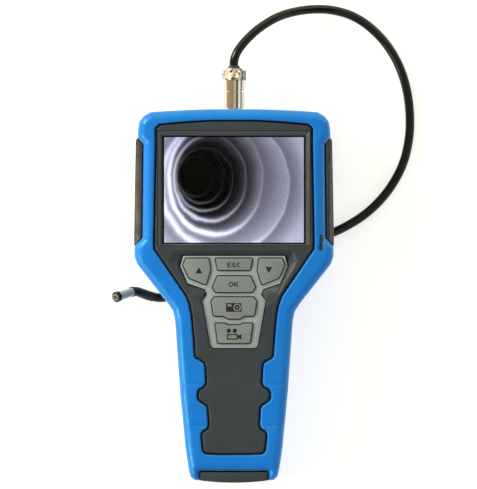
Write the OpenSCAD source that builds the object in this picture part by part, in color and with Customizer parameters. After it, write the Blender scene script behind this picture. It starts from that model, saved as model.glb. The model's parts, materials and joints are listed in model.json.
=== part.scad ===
// Handheld inspection camera: a screen unit in a rubber boot, lying on its back, with a plug-in camera probe.
// The screen faces +Z, the probe socket +Y. The origin is under the middle of the screen unit, on the table.

/* [Screen unit] */
// Length of the screen unit, from its bottom cap to the crown of the boot
unit_length = 190; // [188:1:192]
// Thickness of the screen unit, from the table to the rim of the boot
unit_depth = 42; // [41:0.5:44]
// Wall of the rubber boot
boot_wall = 2.6; // [2.4:0.1:2.8]
// Wall of the plastic casing
case_wall = 2; // [1.8:0.1:2.2]
// Height of the raised panel above the shoulder of the casing
panel_rise = 2.4; // [2.2:0.1:2.6]
// Width of the shadow groove between the boot and the raised panel, and round the side grips
seam_gap = 0.8; // [0.5:0.1:1]
// Height of the hollow across the back, where the fingers close and the probe can pass
arch_rise = 10; // [8:0.5:10.5]
// Height at which the two halves of the casing meet, and of the socket's axis
split_z = 22; // [21.5:0.25:22.5]

/* [Screen] */
// Width of the picture of the 3.5 inch screen
screen_w = 71.1; // [70:0.1:72]
// Height of the picture
screen_h = 53.5; // [52:0.1:54]
// Middle of the picture above the middle of the unit
screen_y = 53.75; // [53.5:0.05:54]
// Width of the frame at the sides and the top of the window
window_rim = 3.1; // [2.8:0.1:3.2]
// Width of the frame below the window
window_sill = 1.5; // [1.3:0.1:2]

/* [Keys] */
// Travel of each key
key_travel = 0.8; // [0.4:0.1:0.9]
// Gap round each key
key_gap = 0.55; // [0.3:0.05:0.6]
// Height of the keys above their plate
key_rise = 1.2; // [0.9:0.1:1.5]
// Depth of the sloping pocket round the keypad, at its upper end
pocket_depth = 1.9; // [1:0.1:2]

/* [Battery bay] */
// Diameter of an AA cell
cell_d = 14.5; // [14:0.1:14.5]
// Length of an AA cell with its nub
cell_length = 50.5; // [49.5:0.1:50.5]
// Half width of the sliding cap at the end of the handle
cap_half = 17; // [16:0.2:17.2]

/* [Socket and plug] */
// Radius of the socket's threaded shell
thread_r = 4.4; // [4.2:0.05:4.5]
// Outer radius of the coupling nut
nut_r = 5.5; // [5.1:0.05:5.6]
// Outer radius of the plug's body
plug_r = 5.6; // [5.3:0.05:5.7]
// Turn of the cable clamp about the plug's axis
clamp_turn = -38; // [-60:1:60]

/* [Probe] */
// Diameter of the probe's tube
tube_d = 4.6; // [4:0.1:5]
// Radius of the camera barrel
barrel_r = 2.35; // [2.2:0.05:2.5]
// Length of the camera barrel
barrel_length = 9; // [8:0.5:10]
// Radius of the lens ring at the tip
tip_r = 2.8; // [2.7:0.05:2.9]
// Length of the lens ring
tip_length = 2; // [1.6:0.1:2.4]

/* [Hidden] */
$fn = 48;

// The unit is drawn about its own middle, then shifted so that the unit and its socket stand about the origin
top_y = unit_length / 2 - 0.1;
bottom_y = -unit_length / 2;
socket_end = 101.6;
frame_shift = -(socket_end + bottom_y) / 2;

// Heights of the layers, from the table
shoulder_z = unit_depth - 3.2;
panel_z = shoulder_z + panel_rise;
ceiling_z = shoulder_z - case_wall;
recess_z = panel_z - 3;
glass_thickness = 1.5;
plate_z = recess_z + 1.8;
pocket_foot = -6;
pocket_head = 20.8;
pocket_slope = pocket_depth / (pocket_head - pocket_foot);
key_top_z = plate_z + key_rise;
foot_lap = 0.15;
grip_low = 5;
groove_z = 34;
grip_high = 38;
board_z = split_z + 2;
board_top = board_z + 1.6;
pad_z = 1;

// The hollow across the back is level from arch_low to arch_high and eases out to arch_foot and arch_head
arch_foot = -39;
arch_low = -6;
arch_high = 43;
arch_head = 60;

// Right half of the boot's outline, from the crown down; the notch holds the side grip
function crown(x, peak, drop, reach) = [x, peak - drop * pow(x / reach, 2)];
boot_half = [
    crown(12, top_y, 1.6, 42.5), crown(22, top_y, 1.6, 42.5), crown(32, top_y, 1.6, 42.5),
    crown(42.5, top_y, 1.6, 42.5), [45.8, 91.4], [48.1, 88.6], [48.9, 84], [49, 80.5],
    [46, 77], [46.5, 29.3], [50.6, 25], [50.6, 20], [49.2, 16], [33.6, -3.9], [30.9, -8], [29.9, -13],
    [27.3, -50], [24.6, -78], [23, -88.6], [22.2, -91.8], [20, -93.8]
];
// Middle of the groove round the raised panel: its right half, with the two finger steps
seam_half = [
    crown(10, 89.1, 2.2, 37.7), crown(20, 89.1, 2.2, 37.7), crown(30, 89.1, 2.2, 37.7), [37.9, 86.9],
    [39.8, 85], [39.8, 77], [40.7, 27], [40.5, 23.6], [24.3, -0.2], [22.6, -4.7], [21.6, -10], [20.5, -22.5],
    [20, -30.4], [19.2, -31.8], [16.9, -32.9], [15, -34.4], [14.6, -36.3], [14.2, -44.6], [15.1, -46.2],
    [17.6, -47.5], [18.4, -48.9], [18.5, -51.6], [18, -53.2], [16, -54.6], [14, -55.9], [13.4, -57.4],
    [12.9, -65.8], [13.6, -67.6], [15.8, -68.9], [16.6, -70.2], [16.6, -72.4], [15.9, -78.4], [15.2, -79.8],
    [13.8, -80.3], [7, -80.6]
];
// The right side grip: its outside, and its inner ends beyond the boot's notch, where the boot cuts it off
grip_points = [
    [44, 76], [47.5, 81], [49.5, 79.7], [49.9, 78.6], [50.4, 52], [50.85, 27], [50.65, 25.4], [44, 26.5]
];
grip_fit = 0.03;
// Right half of the keypad plate's outline
plate_half = [
    [25.8, 20.2], [27.2, 15], [23.5, 6.3], [14.9, 3.3], [13.7, 0.5], [16.1, -2.4], [12, -25.6], [10.6, -26.6]
];
// Right halves of the rim and of the floor of the pocket round the keypad
pocket_half = [[29.2, 22.8], [30.9, 21.6], [32.6, 17.2], [22, -0.6], [17, -6]];
pocket_floor_half = [[28.2, pocket_head], [29.4, 16.4], [20.8, 0], [16, -5.4]];
// Outlines of the keys
key_up_points = [[-24.5, 18.9], [-12.8, 18.9], [-12, 13], [-14.2, 5.6], [-22.7, 9], [-25.8, 15.4]];
key_escape_half = [[9.4, 18.9], [8.1, 13]];
key_ok_half = [[8.3, 9.9], [10.8, 4.3], [9.3, 1.8]];
key_photo_half = [[10, -0.8], [11.5, -3.1], [10.3, -10.2], [5.4, -10.3], [3, -11.7]];
key_video_half = [[3.4, -15], [4.7, -14.1], [9.5, -14.1], [8.1, -24.1]];

// Screw posts: the halves of the casing, the main board, and the key board
case_posts = [[41.9, 83.6], [-41.9, 83.6], [42, 17], [-42, 17], [20.5, -24], [-20.5, -24]];
board_posts = [[-34.6, 68], [34.6, 78], [-34.6, 26], [34.6, 26]];
keyboard_posts = [[24, 0.4], [-24, 0.4], [15.4, -26.6], [-15.4, -26.6]];

// Port bay in the crown, left of the socket
bay_x = -25;
bay_w = 22;
bay_low = 13;
bay_high = 31.3;
hinge_y = 92.6;
hinge_z = 13.7;
// Power switch in the crown, right of the socket
switch_x = 24;
switch_travel = 5;

// Battery bay
bay_bottom = -85;
bay_top = -30;
cell_x = cell_d / 2 + 0.15;
cell_low = 6.2 + cell_d / 2;
cell_high = cell_low + cell_d + 0.3;
cell_end = bay_top - 1.2;
spring_room = cell_end - cell_length - (bay_bottom + 1.2);
// The cap's inner face, and the wider lower part of it that overlaps the boot
cap_back = -89.6;
cap_wide = cap_half + 0.7;
cap_shoulder = 30;

// Slot for the status light
status_x = 44.3;
status_low = 22.8;
status_high = 31;

// Stations along the socket's axis
plug_front = 96.5;
nut_front = 95.2;
nut_back = 103.8;
shell_front = 104;
shell_back = 109.5;
clamp_back = 115.6;
boot_back = 117;
// Circle of the four contacts, and the two ears of the cable clamp with their screws
contact_circle = 1.6;
ear_x = 3.9;
ear_screw_x = 4.1;
ear_screw_y = shell_back + 2.6;

// The probe's tube: out of the plug, down to the table in a wide loop, under the unit's hollow back
tube_low = 2.5;
route = [
    [0, boot_back + frame_shift, split_z], [0, 116, 22], [1.05, 119.5, 21.8], [3.4, 123.4, 21.2],
    [7.3, 127.9, 20], [13.2, 133.1, 17.8], [21.5, 138.2, 14.8], [30, 141.2, 11.3], [40, 142.7, 7.7],
    [50.2, 142.3, 5], [60.3, 139.3, 3.2], [69.4, 133.5, tube_low], [77.6, 125, tube_low],
    [83.9, 114.5, tube_low], [88, 102.4, tube_low], [89.8, 89.1, tube_low], [89.2, 76, tube_low],
    [85.8, 62.9, tube_low], [78.7, 50.3, tube_low], [68.7, 39.6, tube_low], [57.2, 32, tube_low],
    [45, 26.5, tube_low], [30, 20.5, tube_low], [15, 14.5, tube_low], [0, 8.5, tube_low],
    [-14, 3, tube_low], [-26, -1.5, tube_low], [-31, -3.4, tube_low], [-35.5, -4.3, tube_low],
    [-38.5, -4.4, tube_low], [-41.2, -4, 2.55], [-43.9, -3.3, 2.8], [-46.4, -2.35, 3.4], [-48.8, -1.5, 4.45],
    [-50.2, -1.2, 5.3], [-51.3, -1.2, 6.1], [-52.2, -1.5, 6.87]
];
// The last stretch of the route is the sleeve that leads into the camera barrel
route_end = len(route) - 1;
sleeve_start = route_end - 6;
head_base = route[route_end];
head_step = head_base - route[route_end - 1];
head_yaw = atan2(head_step[1], head_step[0]);
head_pitch = atan2(head_step[2], norm([head_step[0], head_step[1]]));
sleeve_r = tube_d / 2 + 0.15;
collar_length = 0.7;
led_circle = 1.9;

// ---------------------------------------------------------------------------------------------- helpers

function both_sides(half) = concat(half, [for (i = [len(half) - 1 : -1 : 0]) [-half[i][0], half[i][1]]]);
function eased(t) = t * t * (3 - 2 * t);
function back_z(y) =
    y <= arch_foot || y >= arch_head ? 0 :
    y < arch_low ? arch_rise * eased((y - arch_foot) / (arch_low - arch_foot)) :
    y <= arch_high ? arch_rise : arch_rise * eased((arch_head - y) / (arch_head - arch_high));
back_steps = concat(
    [-110], [for (i = [0 : 8]) arch_foot + (arch_low - arch_foot) * i / 8],
    [for (i = [0 : 8]) arch_high + (arch_head - arch_high) * i / 8], [110]
);

// Rings of a tube of radius r swept along a path that never runs straight up
function unit_of(v) = v / norm(v);
function heading(path, i) = unit_of(path[min(i + 1, len(path) - 1)] - path[max(i - 1, 0)]);
function side_of(t) = unit_of(cross(t, abs(t[2]) > 0.95 ? [1, 0, 0] : [0, 0, 1]));
function sweep_points(path, r, sides, first, last) = [
    for (i = [first : last]) let (t = heading(path, i), u = side_of(t), v = cross(u, t))
        for (k = [0 : sides - 1]) path[i] + r * (cos(360 * k / sides) * u + sin(360 * k / sides) * v)
];
function sweep_faces(rings, sides) = concat(
    [[for (k = [0 : sides - 1]) sides - 1 - k]],
    [for (i = [0 : rings - 2]) for (k = [0 : sides - 1]) let (n = (k + 1) % sides)
        [i * sides + k, i * sides + n, (i + 1) * sides + n, (i + 1) * sides + k]],
    [[for (k = [0 : sides - 1]) (rings - 1) * sides + k]]
);
module sweep_part(path, r, sides, first, last)
    polyhedron(sweep_points(path, r, sides, first, last), sweep_faces(last - first + 1, sides), 4);
module sweep(path, r, sides) sweep_part(path, r, sides, 0, len(path) - 1);

module stand() translate([0, frame_shift, 0]) children();
module rounded(r) offset(r = r) offset(r = -2 * r) offset(r = r) children();
module slab(low, high) translate([0, 0, low]) linear_extrude(high - low) children();
module block(low, high) translate(low) cube(high - low);
module rod_z(x, y, low, high, r) translate([x, y, low]) cylinder(h = high - low, r = r);
// A cylinder on the socket's axis
module rod_y(low, high, r) translate([0, low, split_z]) rotate([-90, 0, 0]) cylinder(h = high - low, r = r);
module above_back(lift) rotate([90, 0, 90]) linear_extrude(140, center = true)
    polygon(concat([for (y = back_steps) [y, back_z(y) + lift]], [[110, 70], [-110, 70]]));
module screen_rect(grow) translate([0, screen_y]) square([screen_w + grow, screen_h + grow], center = true);
// The window frame's outline, grown or shrunk on each side
module frame_rect(grow)
    translate([-screen_w / 2 - window_rim - grow, screen_y - screen_h / 2 - window_sill - grow])
        square([screen_w + 2 * (window_rim + grow), screen_h + window_rim + window_sill + 2 * grow]);

module boot_outline() rounded(1.2) polygon(both_sides(boot_half));
module panel_outline() rounded(0.6) offset(delta = -seam_gap / 2) polygon(both_sides(seam_half));
module boot_window() rounded(0.6) offset(delta = seam_gap / 2) polygon(both_sides(seam_half));
module case_outline() offset(delta = -boot_wall) polygon(both_sides(boot_half));
module room_outline() offset(delta = -case_wall) case_outline();
module rear_outline() rounded(3) offset(delta = -9) case_outline();
module plate_outline() polygon(both_sides(plate_half));

// The casing's whole outside, and the room inside it
module case_envelope() union() {
    intersection() {
        slab(0, shoulder_z) case_outline();
        above_back(boot_wall);
    }
    intersection() {
        slab(0, split_z) offset(delta = -0.3) rear_outline();
        above_back(pad_z);
    }
    slab(shoulder_z - 1, panel_z) panel_outline();
}
module case_room() intersection() {
    slab(0, ceiling_z) room_outline();
    above_back(boot_wall + case_wall);
}
// Room under the cap at the end of the handle, in the boot and in the casing
module cap_room(gap, top) {
    block([-cap_half - gap, bottom_y - 4, -1], [cap_half + gap, cap_back + gap, top]);
    block([-cap_wide - gap, bottom_y - 4, -1], [cap_wide + gap, cap_back + gap, cap_shoulder + gap]);
    block([-15 - gap, -91, -1], [15 + gap, -38 + gap, 3.1]);
}
// Openings through the crown: socket, port bay and power switch
module crown_openings() {
    rod_y(80, 99, thread_r);
    block([bay_x - 9.5, 84, 15.5], [bay_x + 9.5, 99, 30.6]);
    block([bay_x - 11.3, 91.4, 12.3], [bay_x + 11.3, 99, bay_high + 0.3]);
    block([switch_x - 5.4, 84, 20], [switch_x + 5.4, 99, 24]);
}
module posts(places, r, low, high) for (p = places) rod_z(p[0], p[1], low, high, r);

// ---------------------------------------------------------------------------------------------- housing

module rubber_boot() color("#1f6fc2") stand() difference() {
    intersection() {
        slab(0, unit_depth) boot_outline();
        above_back(0);
    }
    intersection() {
        slab(0, shoulder_z) case_outline();
        above_back(boot_wall);
    }
    slab(shoulder_z - 1, unit_depth + 1) boot_window();
    slab(-1, unit_depth / 2) rear_outline();
    cap_room(0.35, unit_depth + 1);
    rod_y(88, 99, 6);
    block([bay_x - 11.3, 88, 12.3], [bay_x + 11.3, 99, bay_high + 0.3]);
    block([switch_x - 8, 88, 18], [switch_x + 8, 99, 26]);
    status_slot(0.05);
}

// The pocket round the keypad: its floor climbs from the screen to the panel's face below the keys
module keypad_pocket() hull() {
    slab(panel_z, panel_z + 1) polygon(both_sides(pocket_half));
    multmatrix([
        [1, 0, 0, 0], [0, 1, 0, 0],
        [0, -pocket_slope, 1, panel_z + pocket_slope * pocket_foot], [0, 0, 0, 1]
    ]) slab(0, 0.05) polygon(both_sides(pocket_floor_half));
}
module front_casing() color("#3b444c") stand() difference() {
    intersection() {
        case_envelope();
        slab(split_z, unit_depth) square(400, center = true);
    }
    difference() {
        case_room();
        posts(case_posts, 2.6, split_z, unit_depth);
        posts(keyboard_posts, 1.4, ceiling_z - 2.2, unit_depth);
    }
    slab(ceiling_z - 1, panel_z + 1) screen_rect(2);
    slab(recess_z, panel_z + 1) frame_rect(0.1);
    keypad_pocket();
    slab(recess_z, panel_z + 1) offset(delta = 0.5) plate_outline();
    slab(ceiling_z - 1, panel_z + 1) offset(delta = -0.5) plate_outline();
    cap_room(0.6, unit_depth);
    block([-cap_half - 1, bottom_y, 0], [cap_half + 1, -87.4, unit_depth]);
    crown_openings();
    gasket_ring();
    status_slot(0.05);
    posts(case_posts, 1.25, 0, ceiling_z - 4);
}

module rear_cover() color("#41474c") stand() {
    difference() {
        intersection() {
            case_envelope();
            slab(0, split_z) square(400, center = true);
        }
        difference() {
            case_room();
            posts(case_posts, 2.6, 0, split_z);
            posts(board_posts, 2.1, 0, board_z);
        }
        block([-15.3, bay_bottom, -1], [15.3, -38, 12]);
        cap_room(0.35, 3.2);
        block([-cap_half - 1, bottom_y, -1], [cap_half + 1, -87.4, unit_depth]);
        crown_openings();
        gasket_ring();
        posts(case_posts, 1.25, 0, split_z + 1);
        for (p = case_posts) rod_z(p[0], p[1], -1, back_z(p[1]) + 6.6, 2.5);
        posts(board_posts, 1, split_z - 8, split_z + 1);
    }
    difference() {
        posts(board_posts, 2.1, split_z - 0.5, board_z);
        posts(board_posts, 1, split_z - 1, board_z + 1);
    }
    hinge_lugs();
}
module hinge_lugs() for (x = [bay_x - 9.7, bay_x + 9.7]) difference() {
    union() {
        translate([x - 1.1, hinge_y, hinge_z]) rotate([0, 90, 0]) cylinder(h = 2.2, r = 1.1);
        block([x - 1.1, 90.3, hinge_z - 1.1], [x + 1.1, hinge_y, hinge_z + 1.1]);
    }
    translate([x - 2, hinge_y, hinge_z]) rotate([0, 90, 0]) cylinder(h = 4, r = 0.5);
}

// The grip sits tight in its notch, and above groove_z it stands clear of it
module grip_outline(gap) difference() {
    polygon(grip_points);
    offset(delta = gap) boot_outline();
}
module grip() stand() intersection() {
    union() {
        slab(grip_low, groove_z) grip_outline(grip_fit);
        slab(groove_z - 0.1, grip_high) grip_outline(seam_gap * 0.6);
    }
    above_back(4);
}
module left_grip() color("#5a5d60") mirror([1, 0, 0]) grip();
module right_grip() color("#5a5d60") grip();

module gasket_ring() slab(split_z - 0.3, split_z + 0.3) difference() {
    offset(delta = -0.7) case_outline();
    offset(delta = -1.3) case_outline();
}
module case_gasket() color("#202224") stand() difference() {
    gasket_ring();
    crown_openings();
    block([-cap_half - 1.5, bottom_y, 0], [cap_half + 1.5, -86.5, unit_depth]);
}

module case_screws() color("#9aa0a4") stand() for (p = case_posts) difference() {
    union() {
        rod_z(p[0], p[1], back_z(p[1]) + 5, back_z(p[1]) + 6.6, 2.3);
        rod_z(p[0], p[1], back_z(p[1]) + 6, ceiling_z - 5, 1.25);
    }
    translate([p[0], p[1], back_z(p[1]) + 5]) {
        cube([2.6, 0.6, 1.4], center = true);
        cube([0.6, 2.6, 1.4], center = true);
    }
}

// ---------------------------------------------------------------------------------------------- screen

module window_frame() color("#2f363c") stand() difference() {
    slab(recess_z + glass_thickness, panel_z + 0.1) frame_rect(0);
    hull() {
        slab(recess_z + glass_thickness - 0.1, recess_z + glass_thickness) screen_rect(1.3);
        slab(panel_z + 0.1, panel_z + 0.2) frame_rect(-0.25);
    }
}
module screen_window() color("#aab2c8", 0.4) stand() slab(recess_z, recess_z + glass_thickness) frame_rect(0);
module lcd_panel() color("#8f93a8") stand() translate([0, screen_y, ceiling_z - 3.3])
    translate([-38.45, -31.95, 0]) cube([76.9, 63.9, 3]);
module lcd_bracket() color("#b5b8ba") stand() difference() {
    translate([-39.3, screen_y - 32.8, ceiling_z - 4.2]) cube([78.6, 65.6, 3.8]);
    translate([-38.5, screen_y - 32, ceiling_z - 3.3]) cube([77, 64, 4]);
    translate([-30, screen_y - 24, ceiling_z - 5]) cube([60, 20, 4]);
    translate([-30, screen_y + 4, ceiling_z - 5]) cube([60, 20, 4]);
}
module flat_cable() color("#b8742a") stand() rotate([90, 0, 90]) linear_extrude(26, center = true) polygon([
    [29, ceiling_z - 4.2], [22.4, ceiling_z - 4.2], [21.2, ceiling_z - 5.4], [21.2, board_top + 1.8],
    [22, board_top + 1], [24.4, board_top + 1], [24.4, board_top + 1.3], [22.2, board_top + 1.3],
    [21.5, board_top + 2], [21.5, ceiling_z - 5.5], [22.5, ceiling_z - 4.5], [29, ceiling_z - 4.5]
]);

// ---------------------------------------------------------------------------------------------- keypad

module key_shape(points) rounded(0.5) polygon(points);
module all_keys(grow) {
    offset(delta = grow) key_shape(key_up_points);
    mirror([1, 0, 0]) offset(delta = grow) key_shape(key_up_points);
    for (half = [key_escape_half, key_ok_half, key_photo_half, key_video_half])
        offset(delta = grow) key_shape(both_sides(half));
}
// A key: a cap through the plate, and a wider foot under it that keeps it in
module key(points) color("#7d837b") stand() {
    slab(recess_z - 0.9, key_top_z) key_shape(points);
    slab(recess_z - 1.2, recess_z - 0.3) offset(delta = key_gap + foot_lap) key_shape(points);
}
module key_up() key(key_up_points);
module key_down() mirror([1, 0, 0]) key(key_up_points);
module key_escape() key(both_sides(key_escape_half));
module key_ok() key(both_sides(key_ok_half));
module key_photo() key(both_sides(key_photo_half));
module key_video() key(both_sides(key_video_half));

module keypad_plate() color("#8f958d") stand() slab(recess_z, plate_z) difference() {
    rounded(0.6) plate_outline();
    all_keys(key_gap);
}
module dome_sheet() color("#c9ccc4") stand() {
    slab(ceiling_z - 2.2, ceiling_z - 1.6) offset(delta = -1.5) plate_outline();
    for (p = [[-18.6, 13], [18.6, 13], [0, 15.9], [0, 5.4], [0, -5.8], [0, -19.2]])
        translate([p[0], p[1], ceiling_z - 1.6]) cylinder(h = 0.5, r1 = 2.2, r2 = 1.4);
}
module key_board() color("#1f5a3a") stand() slab(ceiling_z - 3.8, ceiling_z - 2.2) polygon([
    [-26.5, 19.8], [26.5, 19.8], [26.5, -2], [17.2, -4],
    [17.2, -28.6], [-17.2, -28.6], [-17.2, -4], [-26.5, -2]
]);

// ---------------------------------------------------------------------------------------------- electronics

module main_board() color("#1d6b45") stand() difference() {
    slab(board_z, board_top) polygon([
        [-37, 84], [-37, 21], [45, 21], [45, 24], [43.2, 25.4], [37, 25.4], [37, 84]
    ]);
    posts(board_posts, 1, board_z - 1, board_top + 1);
}
module board_chips() color("#2b2d30") stand() {
    block([-8, 40, board_z - 1.4], [8, 56, board_z]);
    block([14, 44, board_z - 1.2], [26, 52, board_z]);
    block([-26, 34, board_z - 1.2], [-16, 48, board_z]);
    block([-5, 76, board_z - 4], [5, 82, board_z]);
    block([-15, 23, board_top], [15, 26.5, board_top + 0.9]);
    for (x = [12, 20, 28]) rod_z(x, 66, board_top, board_top + 4.4, 3);
    block([-14, 58, board_top], [-4, 68, board_top + 2.4]);
}
module board_screws() color("#a8adb0") stand() for (p = board_posts) difference() {
    union() {
        rod_z(p[0], p[1], board_top, board_top + 1.4, 1.9);
        rod_z(p[0], p[1], split_z - 6, board_top + 0.5, 1);
    }
    translate([p[0], p[1], board_top + 1.4]) {
        cube([2.4, 0.5, 1.2], center = true);
        cube([0.5, 2.4, 1.2], center = true);
    }
}
// The window shows in the boot's rim and has a stem down to the lamp
module status_slot(grow) {
    slab(unit_depth - 2, unit_depth + (grow > 0 ? 1 : -0.5)) offset(delta = grow) hull() {
        translate([status_x, status_low + 0.8]) circle(0.8);
        translate([status_x, status_high - 0.8]) circle(0.8);
    }
    block([status_x - 0.75 - grow, status_low + 0.4 - grow, ceiling_z + 0.1 - 4 * grow],
        [status_x + 0.75 + grow, status_low + 2.2 + grow, unit_depth - 1.9]);
}
module status_window() color("#14304a") stand() status_slot(0);
module status_lamp() color("#d8e4d0") stand() {
    rod_z(status_x - 0.7, status_low, ceiling_z - 4, ceiling_z - 0.3, 1.2);
    for (s = [-1.3, -0.1]) rod_z(status_x + s, status_low, board_top, ceiling_z - 3.8, 0.25);
}

// ---------------------------------------------------------------------------------------------- crown

module power_switch() color("#25282b") stand() {
    difference() {
        block([switch_x - 5, 88.4, split_z - 1.6], [switch_x, 93.5, split_z + 1.6]);
        for (x = [-4, -2.8, -1.6]) block([switch_x + x, 92.9, 18], [switch_x + x + 0.6, 94, 26]);
    }
    block([switch_x - 3.2, 86.4, split_z - 0.6], [switch_x - 1.8, 88.6, split_z + 0.6]);
}
module switch_body() color("#6e7377") stand() difference() {
    block([switch_x - 8, 84, split_z - 3.4], [switch_x + 8, 88, split_z + 3.4]);
    block([switch_x - 5, 86, split_z - 1], [switch_x + 5, 89, split_z + 1]);
}
module usb_port() color("#b9bcbf") stand() difference() {
    block([bay_x - 3.9, 81, board_top], [bay_x + 3.9, 90.4, board_top + 4]);
    block([bay_x - 3.5, 83, board_top + 0.4], [bay_x + 3.5, 91, board_top + 3.6]);
}
module card_slot() color("#a9adb1") stand() difference() {
    block([bay_x - 7.5, 75, board_z - 1.9], [bay_x + 7.5, 89.6, board_z]);
    block([bay_x - 5.7, 76, board_z - 1.5], [bay_x + 5.7, 91, board_z - 0.4]);
}
module memory_card() color("#15171a") stand()
    block([bay_x - 5.5, 76.4, board_z - 1.4], [bay_x + 5.5, 91.3, board_z - 0.6]);

module port_cover() color("#1f6fc2") stand() difference() {
    union() {
        block([bay_x - 11, hinge_y - 0.2, hinge_z], [bay_x + 11, 93.7, bay_high]);
        translate([bay_x - 8.3, hinge_y, hinge_z]) rotate([0, 90, 0]) cylinder(h = 16.6, r = 1.1);
    }
    for (x = [bay_x - 11.5, bay_x + 8.3]) block([x, 91, 12], [x + 3.2, 95, hinge_z + 1.5]);
    translate([bay_x - 12, hinge_y, hinge_z]) rotate([0, 90, 0]) cylinder(h = 24, r = 0.55);
    block([bay_x - 5, 93.2, bay_high - 2.4], [bay_x + 5, 94, bay_high - 1]);
}
module hinge_pin() color("#b9bcbf") stand() translate([bay_x - 10.8, hinge_y, hinge_z]) rotate([0, 90, 0])
    cylinder(h = 21.6, r = 0.5);

// ---------------------------------------------------------------------------------------------- battery bay

module battery_tray() color("#33383c") stand() difference() {
    intersection() {
        block([-16, bay_bottom, 5], [16, bay_top, ceiling_z - 0.3]);
        above_back(boot_wall + case_wall + 0.1);
    }
    block([-15.1, bay_bottom + 0.8, 4], [15.1, bay_top - 0.8, ceiling_z - 0.8]);
}
module each_cell() for (x = [-cell_x, cell_x]) for (z = [cell_low, cell_high])
    translate([x, cell_end, z]) rotate([90, 0, 0]) children();
module battery_cells() color("#2f7d4f") stand() each_cell() {
    translate([0, 0, 1]) cylinder(h = cell_length - 1, r = cell_d / 2 - 0.05);
    cylinder(h = 1.5, r = 2.7);
}
module battery_springs() color("#c9ccce") stand() each_cell() translate([0, 0, cell_length]) sweep([
    for (i = [0 : 24]) let (t = i / 24)
        [(2.4 + 1.8 * t) * cos(900 * t), (2.4 + 1.8 * t) * sin(900 * t), 0.35 + (spring_room - 0.7) * t]
], 0.3, 6);
module battery_contacts() color("#d0c48a") stand() for (z = [cell_low, cell_high]) {
    block([-13, bay_bottom + 0.8, z - 5], [13, bay_bottom + 1.2, z + 5]);
    block([-13, bay_top - 1.2, z - 5], [13, bay_top - 0.8, z + 5]);
}
module battery_cap() color("#3d4043") stand() {
    intersection() {
        union() {
            block([-cap_half, bottom_y, 0.9], [cap_half, cap_back, unit_depth - 1.6]);
            block([-cap_wide, bottom_y, 0.9], [cap_wide, cap_back, cap_shoulder]);
        }
        translate([0, bottom_y + 130, -1]) cylinder(h = 60, r = 130, $fn = 240);
    }
    difference() {
        block([-15, -89.7, 0.9], [15, -38, 2.9]);
        for (y = [-50 : 3 : -41]) block([-8, y, 0], [8, y + 1.2, 1.4]);
    }
}

// ---------------------------------------------------------------------------------------------- socket

module probe_socket() color("#cfcac2") stand() difference() {
    union() {
        rod_y(86.5, socket_end, thread_r);
        rod_y(92.3, 93.9, 5.8);
    }
    rod_y(93, socket_end + 1, 3.6);
    rod_y(86, 93.5, 2.9);
}
module socket_gasket() color("#1d1f21") stand() difference() {
    rod_y(93.9, 94.7, 5.4);
    rod_y(93, 95, thread_r);
}
module socket_lock_nut() color("#b9b6ae") stand() difference() {
    translate([0, 87.9, split_z]) rotate([-90, 0, 0]) cylinder(h = 2.2, r = 6.6, $fn = 6);
    rod_y(87, 91, thread_r);
}
module socket_insert() color("#2a2c2e") stand() difference() {
    rod_y(87, 95.2, 2.9);
    contact_rods(86, 96, 0.4);
}
module contact_rods(low, high, r) for (a = [45 : 90 : 315])
    translate([contact_circle * cos(a), low, split_z + contact_circle * sin(a)]) rotate([-90, 0, 0])
        cylinder(h = high - low, r = r, $fn = 16);
module socket_pins() color("#d9b45a") stand() contact_rods(85.4, 100, 0.4);
module socket_wires() color("#a03028") stand() for (s = [-1, 1]) for (k = [-1, 1]) {
    p = [contact_circle * cos(45) * s, 85.4, split_z + contact_circle * sin(45) * k];
    sweep([p, p + [0, -0.9, 0], p + [0.3 * s, -1.9, -0.1 * k], p + [0.4 * s, -3.3, -0.1 * k]], 0.45, 8);
}

// ---------------------------------------------------------------------------------------------- plug

module coupling_nut() color("#d6d1c8") stand() difference() {
    union() {
        rod_y(nut_front, nut_back, nut_r - 0.25);
        rod_y(nut_front + 0.5, nut_back - 0.4, nut_r);
    }
    rod_y(nut_front - 1, nut_back - 0.9, thread_r + 0.08);
    rod_y(nut_front, nut_back + 1, 3.67);
}
module turned_clamp() translate([0, 0, split_z]) rotate([0, clamp_turn, 0]) translate([0, 0, -split_z])
    children();
module plug_shell() color("#d6d1c8") stand() turned_clamp() difference() {
    union() {
        rod_y(plug_front, nut_back - 1.9, 3.45);
        rod_y(nut_back - 1.9, nut_back - 1, 4.15);
        rod_y(nut_back - 1, shell_front, 3.6);
        rod_y(shell_front, shell_front + 0.4, plug_r - 0.3);
        rod_y(shell_front + 0.4, shell_back, plug_r);
        intersection() {
            rod_y(shell_back, clamp_back, 4.7);
            block([-9, shell_back, 10], [9, clamp_back, split_z - 0.4]);
        }
        for (s = [-1, 1])
            block([s * ear_x - 1.5, shell_back, split_z - 3], [s * ear_x + 1.5, clamp_back - 1, split_z - 0.4]);
    }
    rod_y(plug_front - 1, clamp_back + 1, 2.5);
    for (s = [-1, 1]) rod_z(s * ear_screw_x, ear_screw_y, split_z - 4, split_z, 0.7);
}
module plug_insert() color("#2a2c2e") stand() difference() {
    rod_y(97, 108, 2.5);
    contact_rods(96, 109, 0.62);
}
module plug_contacts() color("#d9b45a") stand() difference() {
    contact_rods(97.4, 107, 0.62);
    contact_rods(97, 100.4, 0.46);
}
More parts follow.
